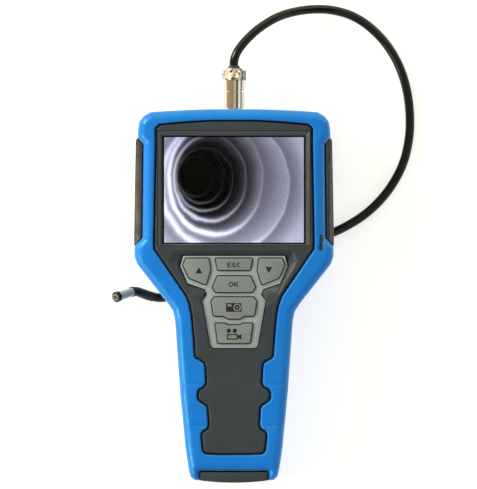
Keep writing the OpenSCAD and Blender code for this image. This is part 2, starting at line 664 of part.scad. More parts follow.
module cable_clamp() color("#cbc6bd") stand() turned_clamp() difference() {
    union() {
        intersection() {
            rod_y(shell_back + 0.2, clamp_back, 4.6);
            block([-9, shell_back, split_z + 0.4], [9, clamp_back, 40]);
        }
        for (s = [-1, 1]) block(
            [s * ear_x - 1.4, shell_back + 0.4, split_z + 0.4], [s * ear_x + 1.4, clamp_back - 1, split_z + 2.2]
        );
    }
    rod_y(plug_front - 1, clamp_back + 1, 2.5);
    for (s = [-1, 1]) rod_z(s * ear_screw_x, ear_screw_y, split_z, split_z + 9, 0.7);
    for (s = [-1, 1]) rod_z(s * ear_screw_x, ear_screw_y, split_z + 2.2, split_z + 9, 1.4);
}
module clamp_screws() color("#b0aca4") stand() turned_clamp() for (s = [-1, 1]) difference() {
    union() {
        rod_z(s * ear_screw_x, ear_screw_y, split_z - 2.9, split_z + 2.4, 0.7);
        rod_z(s * ear_screw_x, ear_screw_y, split_z + 2.2, split_z + 3.2, 1.3);
    }
    translate([s * ear_screw_x, ear_screw_y, split_z + 3.2]) cube([3, 0.5, 0.8], center = true);
}
module plug_boot() color("#17181a") stand() {
    rod_y(shell_back - 1, clamp_back, 2.5);
    translate([0, clamp_back, split_z]) rotate([-90, 0, 0])
        cylinder(h = boot_back - clamp_back, r1 = 3.3, r2 = 2.7);
}

// ---------------------------------------------------------------------------------------------- probe

module at_head(along) translate(head_base) rotate([0, 90 - head_pitch, head_yaw]) translate([0, 0, along])
    children();

module probe_tube() color("#141516") sweep_part(route, tube_d / 2, 10, 0, sleeve_start);
module head_sleeve() color("#26282a") {
    sweep_part(route, sleeve_r, 16, sleeve_start, route_end);
    at_head(-collar_length) cylinder(h = collar_length, r = barrel_r + 0.35);
}
module camera_barrel() color("#c4c5c6") at_head(0) difference() {
    cylinder(h = barrel_length, r = barrel_r);
    translate([0, 0, 0.8]) cylinder(h = barrel_length, r = barrel_r - 0.5);
}
module at_leds() for (a = [0 : 60 : 300]) translate([led_circle * cos(a), led_circle * sin(a), 0]) children();
module tip_ring() color("#121314") at_head(barrel_length) difference() {
    cylinder(h = tip_length, r = tip_r);
    translate([0, 0, -1]) cylinder(h = tip_length + 2, r = 1.1);
    translate([0, 0, -1]) at_leds() cylinder(h = tip_length + 2, r = 0.4, $fn = 16);
    for (a = [30 : 60 : 330]) translate([(tip_r + 0.25) * cos(a), (tip_r + 0.25) * sin(a), -1])
        cylinder(h = tip_length + 2, r = 0.6, $fn = 16);
}
module lens_window() color("#22303c") at_head(barrel_length) translate([0, 0, tip_length - 1.1])
    cylinder(h = 0.8, r = 1.1);
module tip_leds() color("#f2efdc") at_head(barrel_length) translate([0, 0, tip_length - 1.2])
    at_leds() cylinder(h = 1, r = 0.4, $fn = 16);
module image_sensor() color("#303840") at_head(barrel_length - 1.8) translate([-1.2, -1.2, 0])
    cube([2.4, 2.4, 1.8]);

// ---------------------------------------------------------------------------------------------- nodes

rubber_boot();
front_casing();
rear_cover();
left_grip();
right_grip();
case_gasket();
case_screws();
window_frame();
screen_window();
lcd_panel();
lcd_bracket();
flat_cable();
keypad_plate();
dome_sheet();
key_board();
key_up();
key_down();
key_escape();
key_ok();
key_photo();
key_video();
main_board();
board_chips();
board_screws();
status_window();
status_lamp();
power_switch();
switch_body();
usb_port();
card_slot();
memory_card();
port_cover();
hinge_pin();
battery_tray();
battery_cells();
battery_springs();
battery_contacts();
battery_cap();
probe_socket();
socket_gasket();
socket_lock_nut();
socket_insert();
socket_pins();
socket_wires();
coupling_nut();
plug_shell();
plug_insert();
plug_contacts();
cable_clamp();
clamp_screws();
plug_boot();
probe_tube();
head_sleeve();
camera_barrel();
tip_ring();
lens_window();
tip_leds();
image_sensor();
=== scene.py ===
"""Looks of the inspection camera: rounded rubber and plastic, lit screen, keys and probe."""

import json
import math

import bmesh
import bpy
import numpy as np
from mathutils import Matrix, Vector, geometry


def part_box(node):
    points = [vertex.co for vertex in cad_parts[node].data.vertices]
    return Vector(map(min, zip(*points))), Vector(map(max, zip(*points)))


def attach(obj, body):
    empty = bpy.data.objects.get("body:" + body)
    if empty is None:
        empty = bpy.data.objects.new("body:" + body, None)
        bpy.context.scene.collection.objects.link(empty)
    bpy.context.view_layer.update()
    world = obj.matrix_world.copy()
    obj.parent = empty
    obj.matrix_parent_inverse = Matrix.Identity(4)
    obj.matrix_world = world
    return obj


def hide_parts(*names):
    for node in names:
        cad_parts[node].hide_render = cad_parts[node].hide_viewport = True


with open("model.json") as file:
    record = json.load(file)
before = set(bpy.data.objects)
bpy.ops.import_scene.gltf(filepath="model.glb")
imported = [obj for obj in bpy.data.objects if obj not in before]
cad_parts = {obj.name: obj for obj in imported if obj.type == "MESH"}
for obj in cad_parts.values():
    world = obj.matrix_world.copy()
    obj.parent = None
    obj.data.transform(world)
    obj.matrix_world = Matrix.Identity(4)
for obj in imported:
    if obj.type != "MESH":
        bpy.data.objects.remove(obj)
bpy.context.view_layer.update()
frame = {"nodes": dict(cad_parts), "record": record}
nodes = frame["nodes"]

MM = 0.001
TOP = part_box("rubber_boot")[1].z
PANEL_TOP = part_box("window_frame")[1].z
SHIFT = -3.3 * MM  # from the middle of the unit to the frame's origin, along Y

# Colours of the object, as they look in even light
BLUE = (1, 103, 211)
GRAPHITE = (44, 52, 63)
KEY_GREY = (113, 119, 127)
PLATE_GREY = (141, 148, 161)

# ------------------------------ camera and cord

DISTANCE = 8.0
SENSOR = 36
PHOTO_WIDTH, PHOTO_HEIGHT = 477, 489  # pixels
VIEW_CENTRE = Vector((2.3 * MM, 22.7 * MM, 0))
VIEW_WIDTH = 242.2 * MM


def make_camera():
    data = bpy.data.cameras.new("camera")
    data.sensor_width = SENSOR
    data.lens = SENSOR * DISTANCE / VIEW_WIDTH * PHOTO_WIDTH / PHOTO_HEIGHT
    camera = bpy.data.objects.new("camera", data)
    camera.location = VIEW_CENTRE + Vector((0, 0, PANEL_TOP + DISTANCE))
    bpy.context.scene.collection.objects.link(camera)
    bpy.context.scene.camera = camera


make_camera()

# The probe's route in millimetres: the one in the part's source, with its outermost points drawn in
# a little, so that the smooth line stays within the CAD box
TUBE_LOW = 2.5
TUBE_DIAMETER = 4.6
ROUTE = [
    (0, 113.7, 22), (0, 116, 22), (1.05, 119.5, 21.8), (3.4, 123.4, 21.2), (7.3, 127.9, 20),
    (13.2, 133.1, 17.8), (21.5, 138.2, 14.8), (30, 141.1, 11.3), (40, 142.58, 7.7),
    (50.2, 142.2, 5), (60.3, 139.3, 3.2), (69.4, 133.5, TUBE_LOW), (77.6, 125, TUBE_LOW),
    (83.9, 114.5, TUBE_LOW), (87.95, 102.4, TUBE_LOW), (89.7, 89.1, TUBE_LOW),
    (89.15, 76, TUBE_LOW), (85.8, 62.9, TUBE_LOW), (78.7, 50.3, TUBE_LOW), (68.7, 39.6, TUBE_LOW),
    (57.2, 32, TUBE_LOW), (45, 26.5, TUBE_LOW), (30, 20.5, TUBE_LOW), (15, 14.5, TUBE_LOW),
    (0, 8.5, TUBE_LOW), (-14, 3, TUBE_LOW), (-26, -1.5, TUBE_LOW), (-31, -3.4, TUBE_LOW),
    (-35.5, -4.3, TUBE_LOW), (-38.5, -4.4, TUBE_LOW), (-41.2, -4, 2.55),
]
# The camera barrel starts here and points this way; the lens ring's face is this far along it
HEAD_BASE = (-52.2, -1.5, 6.87)
HEAD_STEP = (-0.9, -0.3, 0.77)
HEAD_LENGTH = 11


def smooth_line(points, steps):
    """Points along a Catmull-Rom curve through the given points."""
    ends = [points[0] * 2 - points[1], *points, points[-1] * 2 - points[-2]]
    line = []
    for a, b, c, d in zip(ends, ends[1:], ends[2:], ends[3:]):
        for k in range(steps):
            t = k / steps
            line.append(0.5 * (2 * b + (c - a) * t + (2 * a - 5 * b + 4 * c - d) * t ** 2
                               + (3 * b - a - 3 * c + d) * t ** 3))
    return [*line, points[-1]]


def make_cord():
    line = smooth_line([Vector(p) * MM for p in ROUTE], 6)
    data = bpy.data.curves.new("probe_cable", "CURVE")
    data.dimensions = "3D"
    data.bevel_depth = 1
    data.bevel_resolution = 8
    data.use_fill_caps = True
    spline = data.splines.new("POLY")
    spline.points.add(len(line) - 1)
    for point, place in zip(spline.points, line):
        point.co = (*place, 1)
        point.radius = TUBE_DIAMETER * MM / 2
    spline.use_smooth = True
    cord = bpy.data.objects.new("probe_cable", data)
    bpy.context.scene.collection.objects.link(cord)
    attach(cord, "housing")
    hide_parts("probe_tube")
    return cord


cord = make_cord()

# ------------------------------ materials


def srgb(colour):
    """A colour of 0 to 255 as the linear colour that shaders take."""
    return (*[((c / 255 + 0.055) / 1.055) ** 2.4 if c > 10 else c / 255 / 12.92 for c in colour], 1)


class Nodes:
    """A short way to write a material's node tree."""

    def __init__(self, name):
        self.material = bpy.data.materials.new(name)
        self.material.use_nodes = True
        self.tree = self.material.node_tree
        self.shader = self.tree.nodes["Principled BSDF"]
        self.place = self.add("ShaderNodeTexCoord").outputs["Object"]

    def add(self, kind, **settings):
        made = self.tree.nodes.new(kind)
        for key, value in settings.items():
            setattr(made, key, value)
        return made

    def put(self, value, socket):
        if isinstance(value, bpy.types.NodeSocket):
            self.tree.links.new(value, socket)
        else:
            socket.default_value = value

    def math(self, operation, a, b=0.0, c=0.0):
        made = self.add("ShaderNodeMath", operation=operation)
        for value, socket in zip((a, b, c), made.inputs):
            self.put(value, socket)
        return made.outputs[0]

    def plus(self, a, b):
        return self.math("ADD", a, b)

    def minus(self, a, b):
        return self.math("SUBTRACT", a, b)

    def times(self, a, b):
        return self.math("MULTIPLY", a, b)

    def noise(self, scale, detail=3.0, roughness=0.6):
        made = self.add("ShaderNodeTexNoise")
        self.put(self.place, made.inputs["Vector"])
        made.inputs["Scale"].default_value = scale
        made.inputs["Detail"].default_value = detail
        made.inputs["Roughness"].default_value = roughness
        return made.outputs["Fac"]

    def band(self, value, low, high, out_low, out_high):
        """value between low and high, brought smoothly to between out_low and out_high"""
        made = self.add("ShaderNodeMapRange", interpolation_type="SMOOTHSTEP")
        for v, socket in zip((value, low, high, out_low, out_high), made.inputs):
            self.put(v, socket)
        return made.outputs["Result"]

    def mix(self, factor, a, b):
        made = self.add("ShaderNodeMix", data_type="RGBA")
        for v, socket in zip((factor, a, b), (made.inputs[0], made.inputs[6], made.inputs[7])):
            self.put(v, socket)
        return made.outputs[2]

    def mix_value(self, factor, a, b):
        made = self.add("ShaderNodeMix", data_type="FLOAT")
        for v, socket in zip((factor, a, b), (made.inputs[0], made.inputs[2], made.inputs[3])):
            self.put(v, socket)
        return made.outputs[0]

    def bump(self, height, strength, distance):
        made = self.add("ShaderNodeBump")
        made.inputs["Strength"].default_value = strength
        made.inputs["Distance"].default_value = distance
        self.put(height, made.inputs["Height"])
        self.put(made.outputs["Normal"], self.shader.inputs["Normal"])

    def set(self, **sockets):
        for key, value in sockets.items():
            self.put(value, self.shader.inputs[key.replace("_", " ")])


def moulded(name, colour, roughness, grain=2500, relief=0.04, variation=0.12, **sockets):
    """Moulded plastic or rubber: fine grain, slight cloudiness and handling marks in the gloss."""
    n = Nodes(name)
    cloud = n.noise(35, 4)
    base = srgb(colour)
    dark = tuple(c * (1 - variation) for c in base[:3]) + (1,)
    light = tuple(min(1, c * (1 + variation)) for c in base[:3]) + (1,)
    n.set(Base_Color=n.mix(n.band(cloud, 0.35, 0.65, 0, 1), dark, light))
    n.set(Roughness=n.band(n.noise(90, 5), 0.3, 0.7, roughness - 0.07, roughness + 0.07))
    n.bump(n.noise(grain, 2), relief, 0.0002)
    n.set(**sockets)
    return n.material


def metal(name, colour, roughness, brushed, relief=0.03, **sockets):
    """Plated or turned metal: fine marks stretched along one direction."""
    n = Nodes(name)
    mapping = n.add("ShaderNodeMapping")
    n.put(n.place, mapping.inputs["Vector"])
    mapping.inputs["Scale"].default_value = brushed
    n.place = mapping.outputs["Vector"]
    marks = n.noise(900, 4, 0.7)
    base = srgb(colour)
    dull = tuple(c * 0.82 for c in base[:3]) + (1,)
    n.set(Base_Color=n.mix(n.band(marks, 0.3, 0.7, 0, 1), dull, base), Metallic=1.0)
    n.set(Roughness=n.band(marks, 0.25, 0.75, roughness * 0.8, roughness * 1.25))
    n.bump(marks, relief, 0.0001)
    n.set(**sockets)
    return n.material


def board_material():
    """Green solder mask over tracks, with tinned pads."""
    n = Nodes("circuit_board")
    grid = n.add("ShaderNodeTexVoronoi", feature="F1", distance="MANHATTAN")
    n.put(n.place, grid.inputs["Vector"])
    grid.inputs["Scale"].default_value = 260
    tracks = n.band(grid.outputs["Distance"], 0.12, 0.16, 1, 0)
    mask = n.mix(n.noise(60), srgb((12, 74, 42)), srgb((24, 104, 60)))
    n.set(Base_Color=n.mix(tracks, mask, srgb((170, 172, 160))),
          Roughness=n.band(tracks, 0, 1, 0.32, 0.25))
    n.bump(grid.outputs["Distance"], 0.15, 0.0001)
    return n.material


# The corrugated pipe that the screen shows, from the nearest ring to the farthest. For each ring:
# its middle and radii in millimetres from the screen's middle, the grey of its lip at the right and
# at the lower left, and the grey of the wall beyond it, from the next ring's lip to its own
PIPE_RINGS = [
    ((-5.0, 2.0), (33.0, 35.0), (0.60, 0.80), (0.38, 0.56)),
    ((-9.5, 4.8), (24.4, 29.2), (0.46, 0.90), (0.17, 0.42)),
    ((-12.2, 5.0), (18.9, 22.2), (0.30, 0.72), (0.05, 0.20)),
    ((-15.0, 4.2), (14.8, 16.2), (0.14, 0.48), (0.0, 0.05)),
    ((-16.8, 6.0), (12.0, 14.3), (0.10, 0.26), (0.0, 0.02)),
    ((-19.5, 6.0), (9.0, 10.8), (0.08, 0.16), (0.0, 0.01)),
]
NEAR_WALL = (0.42, 0.66)  # the grey of the wall nearer than the first ring
NEAR_REACH = 12
LOWER_LEFT = (-0.82, -0.57)  # the direction in which a ring's lip is widest and brightest
LIP_WIDTH = (0.45, 1.9)  # millimetres, at the right and at the lower left
LIP_GROWTH = 0.008  # how much wider a lip is at the right, for each millimetre of its radius
LIP_COVER = 0.92
RING_WOBBLE = 0.35
RING_BLUR = 0.2
PICTURE = (35.5, 26.8)  # half the picture's width and height in millimetres
PICTURE_DROP = 0.8  # how far its middle lies below the window's
PICTURE_BLUR = 0.1
PICTURE_FADE = (-38, 30, 1.2, 0.94)  # from this place to that, brightness falls from this to that
PICTURE_LIGHT = 1.17
PICTURE_GAMMA = 2.2
PICTURE_TINT = (0.86, 0.86, 1.12)


def ring_gap(n, x, y, middle, radii):
    """Distance outside an oval ring, and how far towards its lower left: 1 there, -1 opposite."""
    away_x = n.minus(x, middle[0])
    away_y = n.times(n.minus(y, middle[1]), radii[0] / radii[1])
    square = n.plus(n.times(away_x, away_x), n.times(away_y, away_y))
    side = n.plus(n.times(away_x, LOWER_LEFT[0] / radii[0]),
                  n.times(away_y, LOWER_LEFT[1] / radii[0]))
    return n.minus(n.math("SQRT", square), radii[0]), side


def bell(n, value, width):
    """1 where the value is 0, falling to nothing within a few widths."""
    part = n.math("DIVIDE", value, width)
    return n.math("EXPONENT", n.times(n.times(part, part), -1.0))


def within(n, value, limit):
    """1 as far as the limit from the middle and 0 beyond it."""
    return n.band(n.math("ABSOLUTE", value), limit - PICTURE_BLUR, limit + PICTURE_BLUR, 1, 0)


def pipe_grey(n, x, y):
    """The grey of the corrugated pipe at a place in millimetres."""
    gaps = [ring_gap(n, x, y, middle, radii) for middle, radii, _, _ in PIPE_RINGS]
    value = n.band(gaps[0][0], 0, NEAR_REACH, *NEAR_WALL)
    for index, (_, radii, lip, wall) in enumerate(PIPE_RINGS):
        gap, side = gaps[index]
        if index + 1 < len(PIPE_RINGS):
            inner = n.math("MAXIMUM", gaps[index + 1][0], 0.0)
            depth = n.math("MAXIMUM", n.minus(inner, gap), 0.01)
            behind = n.band(inner, 0.0, depth, *wall)
        else:
            behind = 0.0
        value = n.mix_value(n.band(gap, -RING_BLUR, RING_BLUR, 1, 0), value, behind)
        thin = LIP_WIDTH[0] + radii[0] * LIP_GROWTH
        thick = LIP_WIDTH[1] * radii[0] / PIPE_RINGS[0][1][0]
        width = n.band(side, -0.8, 1, thin, thick)
        bright = bell(n, n.plus(gap, n.times(width, 0.5)), width)
        value = n.mix_value(n.times(bright, LIP_COVER), value, n.band(side, -0.9, 0.95, *lip))
    return value


def screen_material():
    """A lit picture of the inside of a corrugated pipe."""
    n = Nodes("screen_picture")
    low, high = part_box("screen_window")
    middle = (low + high) / 2
    split = n.add("ShaderNodeSeparateXYZ")
    n.put(n.place, split.inputs[0])
    wobble = n.band(n.noise(90, 2), 0.3, 0.7, -RING_WOBBLE, RING_WOBBLE)
    flat_x = n.times(n.minus(split.outputs["X"], middle.x), 1 / MM)
    flat_y = n.times(n.minus(split.outputs["Y"], middle.y), 1 / MM)
    x = n.plus(flat_x, wobble)
    y = n.plus(flat_y, wobble)
    value = pipe_grey(n, x, y)
    across = n.plus(n.times(x, 0.8), y)
    value = n.times(value, n.band(across, *PICTURE_FADE))
    edge_x = within(n, flat_x, PICTURE[0])
    edge_y = within(n, n.plus(flat_y, PICTURE_DROP), PICTURE[1])
    value = n.times(value, n.times(edge_x, edge_y))
    value = n.times(value, n.band(n.noise(1500, 3), 0.3, 0.7, 0.95, 1.05))
    tint = n.add("ShaderNodeCombineColor")
    bright = n.math("MAXIMUM", n.times(value, PICTURE_LIGHT), 0.0)
    linear = n.math("POWER", bright, PICTURE_GAMMA)
    for factor, socket in zip(PICTURE_TINT, tint.inputs):
        n.put(n.times(linear, factor), socket)
    n.set(Base_Color=(0.002, 0.002, 0.002, 1), Roughness=0.5, Specular_IOR_Level=0.0)
    n.put(tint.outputs[0], n.shader.inputs["Emission Color"])
    n.set(Emission_Strength=1.0)
    return n.material


def casting_material():
    """The cable clamp: a rough plated casting, with painted shade in its pits: its colour goes dark
    where the bump lies low.
    """
    n = Nodes("clamp_casting")
    lumps = n.noise(700, 3, 0.55)
    # Painted shade: a dark colour put into the bump's hollows, standing for the shade in the pits
    pit_shade_colour, plating = srgb((52, 44, 38)), srgb((214, 200, 186))
    n.set(Base_Color=n.mix(n.band(lumps, 0.38, 0.52, 0, 1), pit_shade_colour, plating))
    n.set(Roughness=n.band(lumps, 0.3, 0.7, 0.5, 0.22), Metallic=0.7)
    n.bump(lumps, 0.8, 0.0006)
    return n.material


def glass_material(name, colour, roughness, through, index):
    """Clear or smoked glass, with faint wipe marks in the gloss."""
    n = Nodes(name)
    n.set(Base_Color=srgb(colour),
          Roughness=n.band(n.noise(120, 5), 0.4, 0.8, roughness, roughness + 0.02))
    n.set(IOR=index, Transmission_Weight=through)
    return n.material


def make_materials():
    return {
        "boot_rubber": moulded("blue_rubber", BLUE, 0.40, 3200, 0.05, 0.05, Specular_IOR_Level=0.8,
                               Specular_Tint=(0.35, 1.0, 0.5, 1), Sheen_Weight=0.4,
                               Sheen_Roughness=0.3, Sheen_Tint=(0.5, 1.0, 0.6, 1)),
        "case_plastic": moulded("graphite_plastic", GRAPHITE, 0.42, 4200, 0.10, 0.08,
                                Specular_IOR_Level=0.35),
        "grip_rubber": moulded("grip_rubber", (47, 47, 50), 0.28, 2600, 0.10, 0.08,
                               Specular_IOR_Level=1.0),
        "seal_rubber": moulded("seal_rubber", (26, 27, 28), 0.5, 2600, 0.08),
        "screw_steel": metal("screw_steel", (176, 178, 180), 0.3, (1, 1, 8)),
        "frame_plastic": moulded("frame_plastic", (56, 60, 64), 0.28, 5200, 0.03, 0.05),
        "window_acrylic": glass_material("window_acrylic", (252, 252, 255), 0.01, 1.0, 1.1),
        "screen_picture": screen_material(),
        "sheet_steel": metal("sheet_steel", (168, 170, 172), 0.34, (12, 1, 1)),
        "flex_film": moulded("flex_film", (150, 88, 34), 0.3, 900, 0.05),
        "keypad_plastic": moulded("keypad_plastic", PLATE_GREY, 0.45, 3600, 0.07, 0.05),
        "key_plastic": moulded("key_plastic", KEY_GREY, 0.5, 3000, 0.12, 0.06),
        "dome_silicone": moulded("dome_silicone", (200, 204, 196), 0.5, 1800, 0.05),
        "circuit_board": board_material(),
        "chip_plastic": moulded("chip_plastic", (30, 31, 33), 0.5, 5000, 0.12),
        "status_lens": moulded("status_lens", (10, 34, 52), 0.2, 900, 0.02, 0.1, Coat_Weight=0.6),
        "lamp_resin": moulded("lamp_resin", (226, 226, 206), 0.2, 900, 0.02, 0.04,
                              Transmission_Weight=0.4),
        "cell_jacket": moulded("cell_jacket", (44, 122, 76), 0.28, 1500, 0.03, 0.08),
        "contact_brass": metal("contact_brass", (206, 178, 108), 0.25, (1, 6, 1)),
        "plated_metal": metal("plated_metal", (226, 218, 206), 0.10, (1, 14, 1), 0.02),
        "clamp_casting": casting_material(),
        "tip_led": moulded("tip_led", (120, 120, 114), 0.25, 900, 0.02, 0.04),
        "wire_jacket": moulded("wire_jacket", (150, 40, 34), 0.4, 1500, 0.04),
        "tube_rubber": moulded("tube_rubber", (9, 9, 10), 0.16, 1400, 0.03, 0.2,
                               Specular_IOR_Level=0.35),
        "sleeve_rubber": moulded("sleeve_rubber", (16, 16, 17), 0.4, 2200, 0.10),
        "barrel_steel": metal("barrel_steel", (178, 175, 167), 0.3, (1, 10, 10), 0.05,
                              Metallic=0.1),
        "tip_plastic": moulded("tip_plastic", (9, 9, 10), 0.35, 2600, 0.08),
        "lens_glass": glass_material("lens_glass", (24, 34, 48), 0.04, 0.3, 1.5),
    }


materials = make_materials()


def wear(piece, slot):
    """The piece takes the material of that slot of the record."""
    piece.data.materials.clear()
    piece.data.materials.append(materials[slot])


# Pieces that keep their slot but look different from the rest in it
SPECIAL_LOOKS = {
    "cable_clamp": "clamp_casting", "clamp_screws": "clamp_casting", "tip_leds": "tip_led",
}


def dress_frame():
    slots = {s["node"]: s["material_slot"] for s in frame["record"]["subparts"]}
    for name, node in nodes.items():
        wear(node, slots[name])
    for name, look in SPECIAL_LOOKS.items():
        nodes[name].data.materials[0] = materials[look]
    cord.data.materials.append(materials["tube_rubber"])


dress_frame()

# ------------------------------ rounding

SHARP = math.radians(33)


def smooth_group():
    """A node group that shades a piece smooth but for the edges sharper than SHARP."""
    group = bpy.data.node_groups.new("smooth_by_angle", "GeometryNodeTree")
    group.is_modifier = True
    group.interface.new_socket("Geometry", in_out="INPUT", socket_type="NodeSocketGeometry")
    group.interface.new_socket("Geometry", in_out="OUTPUT", socket_type="NodeSocketGeometry")
    made = group.nodes.new
    plain, faces, edges = [made("GeometryNodeRemoveAttribute"), made("GeometryNodeSetShadeSmooth"),
                           made("GeometryNodeSetShadeSmooth")]
    plain.inputs["Name"].default_value = "custom_normal"
    edges.domain = "EDGE"
    blunt = made("FunctionNodeCompare")
    blunt.operation = "LESS_THAN"
    blunt.inputs["B"].default_value = SHARP
    angle = made("GeometryNodeInputMeshEdgeAngle")
    group.links.new(angle.outputs["Unsigned Angle"], blunt.inputs["A"])
    group.links.new(blunt.outputs["Result"], edges.inputs["Shade Smooth"])
    chain = [made("NodeGroupInput"), plain, faces, edges, made("NodeGroupOutput")]
    for one, other in zip(chain, chain[1:]):
        group.links.new(one.outputs[0], other.inputs[0])
    return group


smooth_shading = smooth_group()


def welded(name):
    node = nodes[name]
    weld = node.modifiers.new("weld", "WELD")
    weld.merge_threshold = 1e-6
    return node


def shade(name):
    """Smooth shading on a CAD piece whose edges stay as they are."""
    welded(name).modifiers.new("shading", "NODES").node_group = smooth_shading


def soften(name, width, segments=3):
    """Rounds the edges of a CAD piece by modifiers, which leave its own mesh as it is."""
    node = welded(name)
    flat = node.modifiers.new("flat", "DECIMATE")
    flat.decimate_type = "DISSOLVE"
    flat.angle_limit = math.radians(0.6)
    bevel = node.modifiers.new("round", "BEVEL")
    bevel.width = width * MM
    bevel.segments = segments
    bevel.limit_method = "ANGLE"
    bevel.angle_limit = SHARP
    node.modifiers.new("shading", "NODES").node_group = smooth_shading


def by_angle(piece):
    """Smooth shading between sharp edges, in which large flat faces stay flat."""
    piece.data.set_sharp_from_angle(angle=SHARP)
    level = piece.modifiers.new("level", "WEIGHTED_NORMAL")
    level.keep_sharp = True


def level_loops(name, z, facing=1):
    """Outlines of the flat faces of a node at height z, largest first, as arrays of points."""
    mesh = nodes[name].data
    keys, points, index = {}, [], []
    for v in mesh.vertices:
        key = tuple(round(c, 6) for c in v.co)
        if key not in keys:
            keys[key] = len(points)
            points.append(v.co.copy())
        index.append(keys[key])
    follow = {}
    for face in mesh.polygons:
        if abs(face.center.z - z) > 2e-5 or face.normal.z * facing < 0.99:
            continue
        ring = [index[i] for i in face.vertices]
        for a, b in zip(ring, ring[1:] + ring[:1]):
            if a in follow.get(b, ()):
                follow[b].remove(a)
            else:
                follow.setdefault(a, set()).add(b)
    loops = []
    while any(follow.values()):
        start = next(a for a, ends in follow.items() if ends)
        loop, here = [], start
        while follow.get(here):
            loop.append(here)
            here = follow[here].pop()
        loops.append(np.array([[points[i].x, points[i].y] for i in loop]))
    return sorted(loops, key=lambda l: -abs(area(l)))


def area(loop):
    x, y = loop[:, 0], loop[:, 1]
    return 0.5 * float(np.sum(x * np.roll(y, -1) - y * np.roll(x, -1)))


def distance(points, loop):
    """Distance of each point to an outline."""
    best = np.full(len(points), np.inf)
    ends = np.roll(loop, -1, 0)
    for a, b in zip(loop, ends):
        d = b - a
        t = np.clip(((points - a) @ d) / max(d @ d, 1e-18), 0, 1)
        best = np.minimum(best, np.linalg.norm(points - a - t[:, None] * d, axis=1))
    return best


def inside(points, loop):
    """Whether each point lies within an outline."""
    x, y = points[:, 0], points[:, 1]
    found = np.zeros(len(points), bool)
    for (ax, ay), (bx, by) in zip(loop, np.roll(loop, -1, 0)):
        if ay == by:
            continue
        crosses = (ay > y) != (by > y)
        found ^= crosses & (x < (bx - ax) * (y - ay) / (by - ay) + ax)
    return found


def depth_in(points, loop):
    """Distance of each point to an outline, and 0 for those beyond it."""
    return np.where(inside(points, loop), distance(points, loop), 0)


def inner_side(loop):
    """The side of an outline that its inside is on: 1 is the left."""
    return (1,) if area(loop) > 0 else (-1,)


def dense(loop, step):
    """The outline with points no further apart than step."""
    points = []
    for a, b in zip(loop, np.roll(loop, -1, 0)):
        count = max(1, int(math.ceil(np.linalg.norm(b - a) / step)))
        points += [a + (b - a) * k / count for k in range(count)]
    return np.array(points)


def ring(loop, offset):
    """Points at that distance from an outline, to its left where offset is above 0."""
    ahead = np.roll(loop, -1, 0) - loop
    behind = loop - np.roll(loop, 1, 0)
    made = []
    for edge in (ahead, behind, ahead / np.linalg.norm(ahead, axis=1)[:, None]
                 + behind / np.linalg.norm(behind, axis=1)[:, None]):
        size = np.linalg.norm(edge, axis=1)[:, None]
        turned = np.stack([-edge[:, 1], edge[:, 0]], 1)
        made.append(loop + turned / np.maximum(size, 1e-12) * offset)
    points = np.concatenate(made)
    kept = points[np.abs(distance(points, loop) - abs(offset)) < 0.03 * abs(offset)]
    cells = np.unique(np.round(kept / (0.25 * MM)).astype(int), axis=0, return_index=True)[1]
    return kept[np.sort(cells)]


def fall(away, radius):
    """How far a rounded edge lies below its face, at that distance from the edge."""
    short = radius - np.minimum(away, radius)
    return radius - np.sqrt(np.maximum(radius ** 2 - short ** 2, 0))


ANGLES = [math.radians(a) for a in (15, 30, 45, 60, 75, 90)]
BOTH_SIDES = (1, -1)
CUTTER_REACH = 9 * MM  # how far a cutter goes beyond the piece


def piece_from(work, name):
    """A new piece with the mesh in work, its faces turned outwards."""
    bmesh.ops.recalc_face_normals(work, faces=work.faces)
    mesh = bpy.data.meshes.new(name)
    work.to_mesh(mesh)
    work.free()
    piece = bpy.data.objects.new(name, mesh)
    bpy.context.scene.collection.objects.link(piece)
    return piece


def rings_of(loop, radius, sides):
    """Rows of points along a rounded edge, on one or both sides of it."""
    return [ring(loop, side * radius * (1 - math.cos(a))) for a in ANGLES for side in sides]


def shaver(name, outline, edges, surface, far, grid, extra=()):
    """A closed block that lies beyond a surface, which cuts a piece down to it."""
    margin = 4 * MM
    low, high = outline.min(0) - margin, outline.max(0) + margin
    corners = [(low[0], low[1]), (high[0], low[1]), (high[0], high[1]), (low[0], high[1])]
    points, links = list(corners), [(0, 1), (1, 2), (2, 3), (3, 0)]
    keep_off = []
    scatter = list(extra)
    for loop, radius, sides in edges:
        line = dense(loop, 1.4 * MM)
        start = len(points)
        points += [tuple(p) for p in line]
        links += [(start + i, start + (i + 1) % len(line)) for i in range(len(line))]
        for row in rings_of(line, radius, sides):
            scatter += [tuple(p) for p in row]
        keep_off.append((loop, radius))
    xs = np.arange(low[0], high[0], grid)
    ys = np.arange(low[1], high[1], grid)
    mesh_points = np.array([(x + (j % 2) * grid / 2, y) for j, y in enumerate(ys) for x in xs])
    mesh_points = mesh_points[inside(mesh_points, outline)]
    for loop, radius in keep_off:
        mesh_points = mesh_points[distance(mesh_points, loop) > radius + 0.3 * grid]
    points += scatter + [tuple(p) for p in mesh_points]
    plane, _, faces, *_ = geometry.delaunay_2d_cdt([Vector(p) for p in points], links, [], 1, 1e-8)
    flat = np.array([(p.x, p.y) for p in plane])
    heights = surface(flat)
    work = bmesh.new()
    verts = [work.verts.new((x, y, z)) for (x, y), z in zip(flat, heights)]
    for face in faces:
        work.faces.new([verts[i] for i in face])
    rim = [verts[int(np.argmin(np.linalg.norm(flat - np.array(c), axis=1)))] for c in corners]
    lid = [work.verts.new((*c, far)) for c in corners]
    for i in range(4):
        work.faces.new([rim[i], rim[(i + 1) % 4], lid[(i + 1) % 4], lid[i]])
    work.faces.new(lid)
    return piece_from(work, name)


